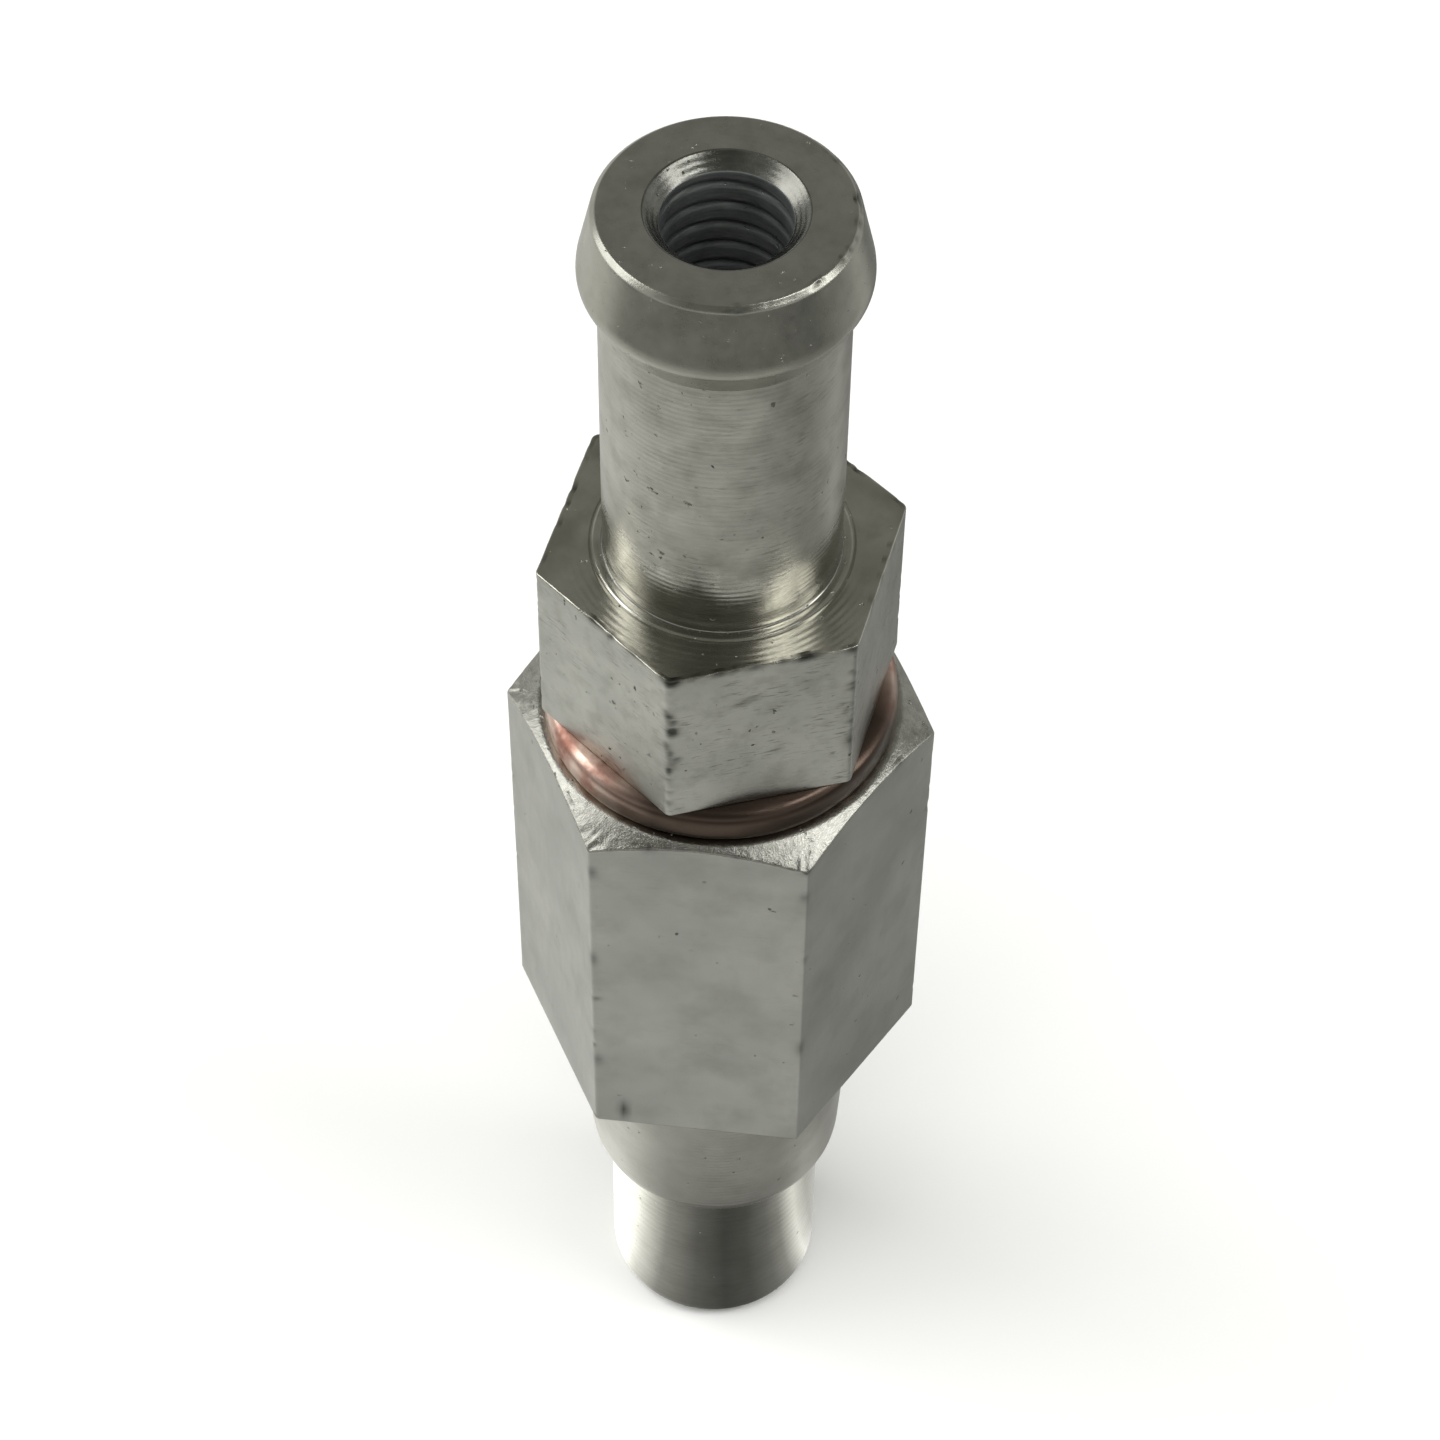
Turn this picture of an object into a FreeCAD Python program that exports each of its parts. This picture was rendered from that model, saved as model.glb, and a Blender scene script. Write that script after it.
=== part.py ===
import FreeCAD, Part
import math
import os
import Sketcher

# A two-piece in-line check valve turned from hexagonal bar. Millimetres, +Z up.
# The origin is the middle of the plain inlet spigot's end; gas leaves at the top.

document = FreeCAD.newDocument("InlineCheckValve")

SIZES = [
    # valve body, from the inlet end upwards
    ("spigotDia", 12.0), ("spigotLength", 13.2), ("spigotEdge", 0.9), ("inletBore", 7.0),
    ("neckLength", 13.8), ("neckInset", 1.8), ("neckStep", 1.1), ("neckRound", 1.3),
    ("bodyFlats", 19.0), ("bodyHexLength", 26.0), ("chamferInset", 0.3), ("chamferAngle", 30.0),
    ("threadDia", 14.0), ("threadDepth", 11.0), ("threadClearance", 0.05), ("threadLeadIn", 0.5),
    ("shoulderWidth", 0.85), ("chamberDepth", 11.0), ("seatMargin", 0.1), ("seatBoreDepth", 4.0),
    # copper sealing washer
    ("washerThickness", 2.0), ("washerWidth", 1.9), ("washerClearance", 0.1),
    # outlet cap with its beaded hose tail
    ("capFlats", 16.0), ("capHexLength", 10.6), ("capTurn", 20.4),
    ("tailLength", 22.4), ("tailDia", 11.6), ("tailFillet", 0.4),
    ("mouthDia", 11.6), ("mouthEdge", 0.25),
    ("beadRise", 0.9), ("beadFlank", 3.0), ("beadLand", 0.5), ("beadUndercut", 1.7),
    ("outletBore", 6.0), ("countersink", 0.7), ("shankWall", 1.75), ("shankEndGap", 0.05),
    # poppet, its seal and its guide
    ("headGap", 1.0), ("headThickness", 2.5), ("noseGap", 1.0), ("noseLength", 2.0),
    ("sealThickness", 0.8), ("sealWidth", 1.3), ("seatGap", 0.1),
    ("stemDia", 3.0), ("stemClearance", 0.05), ("stemProjection", 4.0), ("stemHeadroom", 0.8),
    ("stopWidth", 0.4), ("liftTravel", 2.5), ("stopGap", 0.05),
    ("guideThickness", 1.5), ("guideClearance", 0.05),
    ("flowHoleDia", 2.4), ("flowHoleMargin", 0.6), ("flowHoleCount", 6),
    # return spring
    ("springWire", 0.5), ("springGap", 0.3), ("springTurns", 5), ("springEndGap", 0.05),
]

# How far the turned blank stands outside the hexagon's corners before the flats are cut.
STOCK_MARGIN = 0.8
# How far cutting tools run past the faces that they cut through.
OVERRUN = 1.0


def makeSheet():
    sheet = document.addObject("Spreadsheet::Sheet", "Sizes")
    for row, (alias, value) in enumerate(SIZES, start=1):
        sheet.set(f"A{row}", alias)
        sheet.set(f"B{row}", str(value))
        sheet.setAlias(f"B{row}", alias)
    document.recompute()
    return sheet


def size(alias):
    return f"Sizes.{alias}"


def radius(alias):
    return f"Sizes.{alias} / 2"


def plus(*terms):
    return " + ".join(f"({term})" for term in terms)


def minus(first, *terms):
    return " - ".join(f"({term})" for term in (first,) + terms)


def originPlane(body, role):
    return next(item for item in body.Origin.OriginFeatures if item.Role == role)


def newSketch(body, name, role):
    sketch = body.newObject("Sketcher::SketchObject", name)
    sketch.AttachmentSupport = [(originPlane(body, role), "")]
    sketch.MapMode = "FlatFace"
    return sketch


def bindDistance(sketch, kind, geometry, point, expression):
    # Holds one point of the sketch at a distance from the sketch's own origin.
    index = sketch.addConstraint(Sketcher.Constraint(kind, -1, 1, geometry, point, 1.0))
    name = f"{kind}{geometry}"
    sketch.renameConstraint(index, name)
    sketch.setExpression(f"Constraints.{name}", expression)


def turnedBody(label, outline):
    """A solid of revolution: outline is a closed list of (radius, height) expressions."""
    body = document.addObject("PartDesign::Body", label)
    body.Label = label
    sketch = newSketch(body, f"{label}_profile", "XZ_Plane")
    points = [FreeCAD.Vector(document.Sizes.evalExpression(reach),
                             document.Sizes.evalExpression(height), 0)
              for reach, height in outline]
    count = len(points)
    for corner in range(count):
        sketch.addGeometry(Part.LineSegment(points[corner], points[(corner + 1) % count]))
    for corner in range(count):
        sketch.addConstraint(Sketcher.Constraint("Coincident", corner, 2, (corner + 1) % count, 1))
    for corner, (reach, height) in enumerate(outline):
        bindDistance(sketch, "DistanceX", corner, 1, reach)
        bindDistance(sketch, "DistanceY", corner, 1, height)
    turning = body.newObject("PartDesign::Revolution", f"{label}_turning")
    turning.Profile = sketch
    turning.ReferenceAxis = (sketch, ["V_Axis"])
    turning.Angle = 360.0
    return body


def hexBar(name, flats, foot, top, turn="0"):
    bar = document.addObject("Part::Prism", name)
    bar.Polygon = 6
    bar.setExpression("Circumradius", f"{flats} / sqrt(3)")
    bar.setExpression("Height", plus(minus(top, foot), 2 * OVERRUN))
    bar.setExpression("Placement.Base.z", minus(foot, OVERRUN))
    bar.setExpression("Placement.Rotation.Angle", turn)
    return bar


def milledFromBar(label, blank, bar):
    part = document.addObject("Part::MultiCommon", label)
    part.Shapes = [blank, bar]
    part.Label = label
    return part


# Heights of the faces that pieces share, each worked out from the lengths above.
HEX_FOOT = plus(size("spigotLength"), size("neckLength"))
HEX_TOP = plus(HEX_FOOT, size("bodyHexLength"))
SHOULDER = minus(HEX_TOP, size("threadDepth"))
SEAT = minus(SHOULDER, size("chamberDepth"))
CAP_FOOT = plus(HEX_TOP, size("washerThickness"))
CAP_TOP = plus(CAP_FOOT, size("capHexLength"))
MOUTH = plus(CAP_TOP, size("tailLength"))
GUIDE_TOP = plus(SHOULDER, size("guideThickness"))
SEAL_FOOT = plus(SEAT, size("seatGap"))
HEAD_FOOT = plus(SEAL_FOOT, size("sealThickness"))
HEAD_TOP = plus(HEAD_FOOT, size("headThickness"))
STEM_TOP = plus(GUIDE_TOP, size("stemProjection"))

# Radii that pieces share, from the thread inwards and from the stem outwards.
SHANK_RADIUS = radius("threadDia")
THREAD_RADIUS = plus(SHANK_RADIUS, size("threadClearance"))
CHAMBER_RADIUS = minus(THREAD_RADIUS, size("shoulderWidth"))
HEAD_RADIUS = minus(CHAMBER_RADIUS, size("headGap"))
SEAL_INNER_RADIUS = minus(HEAD_RADIUS, size("sealWidth"))
SEAT_BORE_RADIUS = minus(SEAL_INNER_RADIUS, size("seatMargin"))
NOSE_RADIUS = minus(SEAT_BORE_RADIUS, size("noseGap"))
STOP_RADIUS = plus(radius("stemDia"), size("stopWidth"))


def makeValveBody():
    # Spigot, neck and hexagon in one turning, with the seat, chamber and thread bored inside.
    stock = plus(f"{size('bodyFlats')} / sqrt(3)", STOCK_MARGIN)
    chamferRadius = minus(radius("bodyFlats"), size("chamferInset"))
    chamferDrop = f"({stock} - ({chamferRadius})) * tan({size('chamferAngle')} * 1deg)"
    seatBoreFoot = minus(SEAT, size("seatBoreDepth"))
    blank = turnedBody("valve_body_blank", [
        (radius("inletBore"), "0"),
        (minus(radius("spigotDia"), size("spigotEdge")), "0"),
        (radius("spigotDia"), size("spigotEdge")),
        (radius("spigotDia"), size("spigotLength")),
        (plus(radius("spigotDia"), size("neckStep")), plus(size("spigotLength"), size("neckRound"))),
        (minus(radius("bodyFlats"), size("neckInset")), HEX_FOOT),
        (stock, HEX_FOOT),
        (stock, minus(HEX_TOP, chamferDrop)),
        (chamferRadius, HEX_TOP),
        (plus(THREAD_RADIUS, size("threadLeadIn")), HEX_TOP),
        (THREAD_RADIUS, minus(HEX_TOP, size("threadLeadIn"))),
        (THREAD_RADIUS, SHOULDER),
        (CHAMBER_RADIUS, SHOULDER),
        (CHAMBER_RADIUS, SEAT),
        (SEAT_BORE_RADIUS, SEAT),
        (SEAT_BORE_RADIUS, seatBoreFoot),
        (radius("inletBore"), seatBoreFoot),
    ])
    bar = hexBar("valve_body_bar", size("bodyFlats"), "0", HEX_TOP)
    return milledFromBar("valve_body", blank, bar)


def makeOutletCap():
    # Threaded shank, hexagon and beaded hose tail in one turning, bored right through.
    stock = plus(f"{size('capFlats')} / sqrt(3)", STOCK_MARGIN)
    shankFoot = plus(GUIDE_TOP, size("shankEndGap"))
    shankBore = minus(SHANK_RADIUS, size("shankWall"))
    boreTop = plus(STEM_TOP, size("liftTravel"), size("stemHeadroom"))
    boreCone = plus(boreTop, minus(shankBore, radius("outletBore")))
    beadRadius = plus(radius("tailDia"), size("beadRise"))
    landFoot = minus(MOUTH, size("mouthEdge"), size("beadFlank"), size("beadLand"))
    blank = turnedBody("outlet_cap_blank", [
        (shankBore, shankFoot),
        (minus(SHANK_RADIUS, size("threadLeadIn")), shankFoot),
        (SHANK_RADIUS, plus(shankFoot, size("threadLeadIn"))),
        (SHANK_RADIUS, CAP_FOOT),
        (stock, CAP_FOOT),
        (stock, CAP_TOP),
        (plus(radius("tailDia"), size("tailFillet")), CAP_TOP),
        (radius("tailDia"), plus(CAP_TOP, size("tailFillet"))),
        (radius("tailDia"), minus(landFoot, size("beadUndercut"))),
        (beadRadius, landFoot),
        (beadRadius, plus(landFoot, size("beadLand"))),
        (plus(radius("mouthDia"), size("mouthEdge")), minus(MOUTH, size("mouthEdge"))),
        (radius("mouthDia"), MOUTH),
        (plus(radius("outletBore"), size("countersink")), MOUTH),
        (radius("outletBore"), minus(MOUTH, size("countersink"))),
        (radius("outletBore"), boreCone),
        (shankBore, boreTop),
    ])
    bar = hexBar("outlet_cap_bar", size("capFlats"), shankFoot, MOUTH, size("capTurn"))
    return milledFromBar("outlet_cap", blank, bar)


def makeWasher():
    inner = plus(SHANK_RADIUS, size("washerClearance"))
    outer = plus(inner, size("washerWidth"))
    return turnedBody("copper_washer", [
        (inner, HEX_TOP),
        (outer, HEX_TOP),
        (outer, CAP_FOOT),
        (inner, CAP_FOOT),
    ])


def makePoppet():
    # Nose, seal recess, head, stop collar and guide stem, turned in one piece.
    noseFoot = minus(SEAL_FOOT, size("noseLength"))
    stopTop = minus(SHOULDER, size("liftTravel"), size("stopGap"))
    return turnedBody("poppet", [
        ("0", noseFoot),
        (NOSE_RADIUS, noseFoot),
        (NOSE_RADIUS, SEAL_FOOT),
        (SEAL_INNER_RADIUS, SEAL_FOOT),
        (SEAL_INNER_RADIUS, HEAD_FOOT),
        (HEAD_RADIUS, HEAD_FOOT),
        (HEAD_RADIUS, HEAD_TOP),
        (STOP_RADIUS, HEAD_TOP),
        (STOP_RADIUS, stopTop),
        (radius("stemDia"), stopTop),
        (radius("stemDia"), STEM_TOP),
        ("0", STEM_TOP),
    ])


def makeSeal():
    return turnedBody("poppet_seal", [
        (SEAL_INNER_RADIUS, SEAL_FOOT),
        (HEAD_RADIUS, SEAL_FOOT),
        (HEAD_RADIUS, HEAD_FOOT),
        (SEAL_INNER_RADIUS, HEAD_FOOT),
    ])


def boundCircle(sketch, radiusExpression, offsetExpression=None):
    # A circle round the sketch's origin, or with its centre out along the sketch's X.
    start = FreeCAD.Vector(1.0, 0, 0) if offsetExpression else FreeCAD.Vector(0, 0, 0)
    up = FreeCAD.Vector(0, 0, 1)
    circle = sketch.addGeometry(Part.Circle(start, up, document.Sizes.evalExpression(radiusExpression)))
    index = sketch.addConstraint(Sketcher.Constraint("Radius", circle, 1.0))
    sketch.renameConstraint(index, f"Radius{circle}")
    sketch.setExpression(f"Constraints.Radius{circle}", radiusExpression)
    if offsetExpression:
        sketch.addConstraint(Sketcher.Constraint("PointOnObject", circle, 3, -1))
        bindDistance(sketch, "DistanceX", circle, 3, offsetExpression)
    else:
        sketch.addConstraint(Sketcher.Constraint("Coincident", circle, 3, -1, 1))


def makeGuideDisc():
    # A drilled disc, clamped between the body's shoulder and the cap, that guides the stem.
    body = document.addObject("PartDesign::Body", "guide_disc")
    body.Label = "guide_disc"
    rim = newSketch(body, "guide_disc_rim", "XY_Plane")
    boundCircle(rim, minus(SHANK_RADIUS, size("guideClearance")))
    boundCircle(rim, plus(radius("stemDia"), size("stemClearance")))
    pad = body.newObject("PartDesign::Pad", "guide_disc_pad")
    pad.Profile = rim
    pad.setExpression("Length", size("guideThickness"))
    hole = newSketch(body, "guide_disc_flow_hole", "XY_Plane")
    reach = minus(CHAMBER_RADIUS, size("flowHoleMargin"), radius("flowHoleDia"))
    boundCircle(hole, radius("flowHoleDia"), reach)
    document.recompute()
    before = pad.Shape.Volume
    pocket = body.newObject("PartDesign::Pocket", "guide_disc_pocket")
    pocket.Profile = hole
    pocket.Type = "ThroughAll"
    pocket.Reversed = True
    pattern = body.newObject("PartDesign::PolarPattern", "guide_disc_flow_holes")
    pattern.Originals = [pocket]
    pattern.Axis = (rim, ["N_Axis"])
    pattern.Angle = 360.0
    pattern.setExpression("Occurrences", size("flowHoleCount"))
    body.Tip = pattern
    body.setExpression("Placement.Base.z", SHOULDER)
    document.recompute()
    drilled = before - pattern.Shape.Volume
    sheet = document.Sizes
    expected = sheet.flowHoleCount * math.pi * sheet.flowHoleDia ** 2 / 4 * sheet.guideThickness
    if abs(drilled - expected) > 0.01 * expected:
        raise RuntimeError(f"guide_disc: flow holes took {drilled:.2f}, expected {expected:.2f} mm3")
    return body


def makeSpring():
    # A plain helical spring between the poppet's head and the guide disc.
    foot = plus(HEAD_TOP, size("springEndGap"), radius("springWire"))
    top = minus(SHOULDER, size("springEndGap"), radius("springWire"))
    meanRadius = plus(STOP_RADIUS, size("springGap"), radius("springWire"))
    coil = document.addObject("Part::Helix", "return_spring_coil")
    coil.setExpression("Radius", meanRadius)
    coil.setExpression("Height", minus(top, foot))
    coil.setExpression("Pitch", f"({minus(top, foot)}) / {size('springTurns')}")
    coil.setExpression("Placement.Base.z", foot)
    wire = document.addObject("Part::Circle", "return_spring_wire")
    wire.setExpression("Radius", radius("springWire"))
    wire.Placement.Rotation = FreeCAD.Rotation(FreeCAD.Vector(1, 0, 0), 90)
    wire.setExpression("Placement.Base.x", meanRadius)
    wire.setExpression("Placement.Base.z", foot)
    spring = document.addObject("Part::Sweep", "return_spring")
    spring.Sections = [wire]
    spring.Spine = (coil, [])
    spring.Solid = True
    spring.Frenet = True
    spring.Label = "return_spring"
    return spring


def checkDocument(pieces):
    for item in document.Objects:
        if "Invalid" in item.State or "Error" in item.State:
            raise RuntimeError(f"{item.Label} failed: {item.State}")
    for piece in pieces:
        if piece.Shape.isNull() or not piece.Shape.isValid():
            raise RuntimeError(f"{piece.Label} has no valid shape")
        if len(piece.Shape.Solids) != 1:
            raise RuntimeError(f"{piece.Label} has {len(piece.Shape.Solids)} solids")


def writeParts(pieces):
    os.makedirs("parts", exist_ok=True)
    for piece in pieces:
        piece.Shape.exportStep(f"parts/{piece.Label}.step")
        box = piece.Shape.BoundBox
        print(f"{piece.Label}: {piece.Shape.Volume:.1f} mm3, z {box.ZMin:.2f} to {box.ZMax:.2f}")


makeSheet()
pieces = [
    makeValveBody(),
    makeOutletCap(),
    makeWasher(),
    makePoppet(),
    makeSeal(),
    makeGuideDisc(),
    makeSpring(),
]
document.recompute()
checkDocument(pieces)
writeParts(pieces)
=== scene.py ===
import bmesh
import bpy
import numpy as np
from mathutils import Matrix, Vector


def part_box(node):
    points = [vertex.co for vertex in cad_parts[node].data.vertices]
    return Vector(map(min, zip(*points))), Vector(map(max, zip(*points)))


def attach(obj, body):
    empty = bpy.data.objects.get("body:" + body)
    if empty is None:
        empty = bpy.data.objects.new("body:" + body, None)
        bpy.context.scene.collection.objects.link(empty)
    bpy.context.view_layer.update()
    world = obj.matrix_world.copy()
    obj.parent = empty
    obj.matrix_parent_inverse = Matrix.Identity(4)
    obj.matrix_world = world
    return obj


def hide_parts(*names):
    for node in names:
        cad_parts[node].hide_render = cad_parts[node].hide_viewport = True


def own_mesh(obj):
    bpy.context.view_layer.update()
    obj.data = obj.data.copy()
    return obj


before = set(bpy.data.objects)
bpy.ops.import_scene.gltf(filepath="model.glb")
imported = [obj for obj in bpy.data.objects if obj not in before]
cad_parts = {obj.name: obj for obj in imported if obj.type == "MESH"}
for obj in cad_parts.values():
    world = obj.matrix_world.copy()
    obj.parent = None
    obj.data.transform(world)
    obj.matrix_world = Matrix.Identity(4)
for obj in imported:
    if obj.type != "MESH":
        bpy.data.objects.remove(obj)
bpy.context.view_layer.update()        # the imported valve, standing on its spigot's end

mm = 0.001
bodyLow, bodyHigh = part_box("valve_body")
capLow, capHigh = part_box("outlet_cap")
washerLow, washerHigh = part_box("copper_washer")
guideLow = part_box("guide_disc")[0]


def hexAngles(turn, perSide, crowding):
    # Angle = 60 degrees * (t - crowding * sin(2 pi t) / (2 pi)) with t counted in sides,
    # so the columns stand close together at the six corners and wide apart on the flats.
    t = np.arange(6 * perSide) / perSide
    return np.radians(turn) + np.pi / 3 * (t - crowding * np.sin(2 * np.pi * t) / (2 * np.pi))


def evenAngles(count):
    # Angle = a whole turn * k / count.
    return 2 * np.pi * np.arange(count) / count


def hexReach(angles, turn, flats, cornerRound):
    # Reach of a side = half the flats / cos(angle from its normal). Round the corner it is the
    # reach of a small circle whose centre lies on the corner's own direction.
    fromCorner = np.abs((angles - np.radians(turn) + np.pi / 6) % (np.pi / 3) - np.pi / 6)
    side = flats / 2 / np.cos(np.pi / 6 - fromCorner)
    centre = (flats / 2 - cornerRound) / np.cos(np.pi / 6)
    along = cornerRound ** 2 - (centre * np.sin(fromCorner)) ** 2
    corner = centre * np.cos(fromCorner) + np.sqrt(np.maximum(along, 0))
    tangent = np.pi / 6 - np.arctan((flats / 2 - cornerRound) * np.tan(np.pi / 6) / (flats / 2))
    return np.where(fromCorner < tangent, corner, side)


def sectionRows(corners, columns, bendSteps=4, support=0.06, closed=True):
    # A turned section: each corner (reach, height, rounding, steps, finish) is replaced by the curve
    # (1-t)^2 * before + 2t(1-t) * corner + t^2 * after, and each straight is cut into its steps,
    # with a row close to either end so that the flats stay flat in shading. A rounding takes at most
    # mostRounding of a straight, and a row by the end at most mostSupport of it.
    mostRounding, mostSupport, tiny = 0.45, 0.25, 1e-9
    reach = np.array([np.broadcast_to(c[0], columns) for c in corners], float)
    height = np.array([np.broadcast_to(c[1], columns) for c in corners], float)
    points = np.stack([reach, height], -1)
    ahead = np.roll(points, -1, 0) - points
    length = np.linalg.norm(ahead, axis=-1, keepdims=True)
    ahead = ahead / np.maximum(length, tiny)
    behind = np.roll(ahead, 1, 0)
    room = mostRounding * np.minimum(length, np.roll(length, 1, 0))
    rounding = np.minimum(np.array([c[2] for c in corners])[:, None, None], room)
    before = points - behind * rounding
    after = points + ahead * rounding
    t = np.linspace(0, 1, bendSteps + 1)[:, None, None]
    rows, finishes = [], []
    last = len(corners) - 1
    for k, corner in enumerate(corners):
        if corner[2] > 0:
            bend = (1 - t) ** 2 * before[k] + 2 * t * (1 - t) * points[k] + t ** 2 * after[k]
        else:
            bend = points[k][None]
        rows.append(bend)
        finishes += [corner[4]] * len(bend)
        if not closed and k == last:
            break
        start, end = after[k], before[(k + 1) % len(corners)]
        gap = np.linalg.norm(end - start, axis=-1, keepdims=True)
        margin = np.clip(support / np.maximum(gap, tiny), 0, mostSupport)
        share = np.linspace(0, 1, corner[3] + 1)[:, None, None]
        rows.append(start + (end - start) * (margin + share * (1 - 2 * margin)))
        finishes += [corner[4]] * (corner[3] + 1)
    return np.concatenate(rows), np.array(finishes)


def gridMesh(name, rows, angles, finishes, materials, closed=True, wearAndShade=None):
    # Point (row, column) = (reach cos angle, reach sin angle, height). The grid closes round the
    # axis, and round the section too unless it runs from pole to pole.
    reach, height = rows[..., 0], rows[..., 1]
    points = np.stack([reach * np.cos(angles), reach * np.sin(angles), height], -1) * mm
    rowCount, columnCount = reach.shape
    spans = rowCount if closed else rowCount - 1
    i = np.arange(spans)[:, None]
    j = np.arange(columnCount)[None, :]
    nextRow, nextColumn = (i + 1) % rowCount, (j + 1) % columnCount
    quads = np.stack([i * columnCount + j, i * columnCount + nextColumn,
                      nextRow * columnCount + nextColumn, nextRow * columnCount + j], -1).reshape(-1, 4)
    mesh = bpy.data.meshes.new(name)
    mesh.vertices.add(rowCount * columnCount)
    mesh.vertices.foreach_set("co", points.ravel())
    mesh.loops.add(quads.size)
    mesh.loops.foreach_set("vertex_index", quads.ravel().astype(np.int32))
    mesh.polygons.add(len(quads))
    mesh.polygons.foreach_set("loop_start", np.arange(len(quads), dtype=np.int32) * 4)
    for material in materials:
        mesh.materials.append(material)
    mesh.polygons.foreach_set("material_index", np.repeat(finishes[:spans], columnCount).astype(np.int32))
    mesh.polygons.foreach_set("use_smooth", np.ones(len(quads), bool))
    mesh.update(calc_edges=True)
    # The wearAndShade attribute: dent depth on the body and cap, painted shade on the washer's front side.
    if wearAndShade is not None:
        wearAndShadeValues = mesh.attributes.new("wearAndShade", "FLOAT", "POINT")
        wearAndShadeValues.data.foreach_set("value", wearAndShade.ravel().astype(np.float32))
    mesh.validate()
    if not closed:
        poles = bmesh.new()
        poles.from_mesh(mesh)
        bmesh.ops.remove_doubles(poles, verts=poles.verts, dist=1e-8)
        poles.to_mesh(mesh)
        poles.free()
    piece = bpy.data.objects.new(name, mesh)
    bpy.context.scene.collection.objects.link(piece)
    print(name, "faces:", len(mesh.polygons))
    return piece


nickSizes = dict(levelSpread=0.08, cornerSpread=0.9, wide=(0.10, 0.30), tall=(0.08, 0.22),
                 deep=(0.02, 0.055))


def edgeNicks(turn, level, low, high, count, seed):
    # Small random nicks: half of them along the top edge at level, half down the six corners.
    n = nickSizes
    random = np.random.default_rng(seed)
    along = np.stack([random.uniform(0, 360, count), random.normal(level, n["levelSpread"], count)], 1)
    corner = turn + 60 * random.integers(0, 6, count) + random.normal(0, n["cornerSpread"], count)
    down = np.stack([corner, random.uniform(low, high, count)], 1)
    places = np.concatenate([along, down])
    wide = random.uniform(*n["wide"], (len(places), 1))
    tall = random.uniform(*n["tall"], (len(places), 1))
    deep = random.uniform(*n["deep"], (len(places), 1))
    return np.concatenate([places, wide, tall, deep], 1).tolist()


def slowWaves(angles, height, seed):
    # A sum of five slow sines over angle and height, each with its own phase, from -1 to 1.
    random = np.random.default_rng(seed)
    total = 0
    for turns, rise in ((1, 0.11), (2, 0.23), (3, 0.17), (5, 0.41), (7, 0.31)):
        total = total + np.sin(turns * angles + rise * height + random.uniform(0, 2 * np.pi))
    return total / 5


def quickWaves(angles, reach, seed):
    # A sum of seven quick sines over angle and reach, from -1 to 1, as small hammered facets.
    random = np.random.default_rng(seed)
    total = 0
    for turns in (41, 59, 73, 97, 118, 139, 163):
        ripple = random.uniform(2, 9) * reach
        total = total + np.sin(turns * angles + ripple + random.uniform(0, 2 * np.pi))
    return total / 7


def dents(angles, height, marks, reach):
    # Each mark (degrees, height, width, tall, depth) takes away
    # depth * exp(-(arc / width)^2 - (rise / tall)^2).
    taken = np.zeros(np.broadcast(angles, height).shape)
    for degrees, level, width, tall, depth in marks:
        arc = (angles - np.radians(degrees) + np.pi) % (2 * np.pi) - np.pi
        taken += depth * np.exp(-(arc * reach / width) ** 2 - ((height - level) / tall) ** 2)
    return taken


def nodeKit(name):
    # A new material with its shader, a helper that adds a node with its inputs and settings, and one
    # that joins two sockets.
    material = bpy.data.materials.new(name)
    material.use_nodes = True
    tree = material.node_tree
    shader = tree.nodes["Principled BSDF"]

    def add(kind, inputs=None, **settings):
        node = tree.nodes.new(kind)
        for key, value in settings.items():
            setattr(node, key, value)
        for key, value in (inputs or {}).items():
            if isinstance(value, bpy.types.NodeSocket):
                tree.links.new(value, node.inputs[key])
            else:
                node.inputs[key].default_value = value
        return node

    def link(output, target):
        tree.links.new(output, target)

    return material, shader, add, link


def remap(add, value, fromLow, fromHigh, toLow=0.0, toHigh=1.0):
    # Result = toLow + (toHigh - toLow) * clip((value - fromLow) / (fromHigh - fromLow), 0, 1).
    node = add("ShaderNodeMapRange", {0: value, 1: fromLow, 2: fromHigh, 3: toLow, 4: toHigh})
    return node.outputs[0]


def tint(add, factor, first, second):
    # Colour = first * (1 - factor) + second * factor.
    node = add("ShaderNodeMix", {0: factor}, data_type="RGBA")
    for index, colour in ((6, first), (7, second)):
        if isinstance(colour, bpy.types.NodeSocket):
            node.id_data.links.new(colour, node.inputs[index])
        else:
            node.inputs[index].default_value = (*colour, 1)
    return node.outputs[2]


def maths(add, operation, *values):
    # One sum on the values, in the order in which its operation takes them.
    return add("ShaderNodeMath", dict(enumerate(values)), operation=operation).outputs[0]


def stretched(add, place, factors):
    # Place times the factors, axis by axis.
    return add("ShaderNodeVectorMath", {0: place, 1: factors}, operation="MULTIPLY").outputs[0]


def piecePlace(add):
    # The place on the piece in metres, and the same in millimetres.
    place = add("ShaderNodeTexCoord").outputs["Object"]
    return place, stretched(add, place, (1 / mm, 1 / mm, 1 / mm))


def noise(add, place, scale, detail, roughness=0.5):
    # Clouds from 0 to 1: each finer layer has twice the scale and roughness times the strength.
    return add("ShaderNodeTexNoise", {"Vector": place, "Scale": scale, "Detail": detail,
                                      "Roughness": roughness}).outputs[0]


def bump(add, height, strength, depth, under=None, sunken=False):
    # The normal leans by strength * the slope of (height * depth), on top of the bumps under it.
    inputs = {"Height": height, "Strength": strength, "Distance": depth}
    if under is not None:
        inputs["Normal"] = under
    return add("ShaderNodeBump", inputs, invert=sunken).outputs[0]


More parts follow.
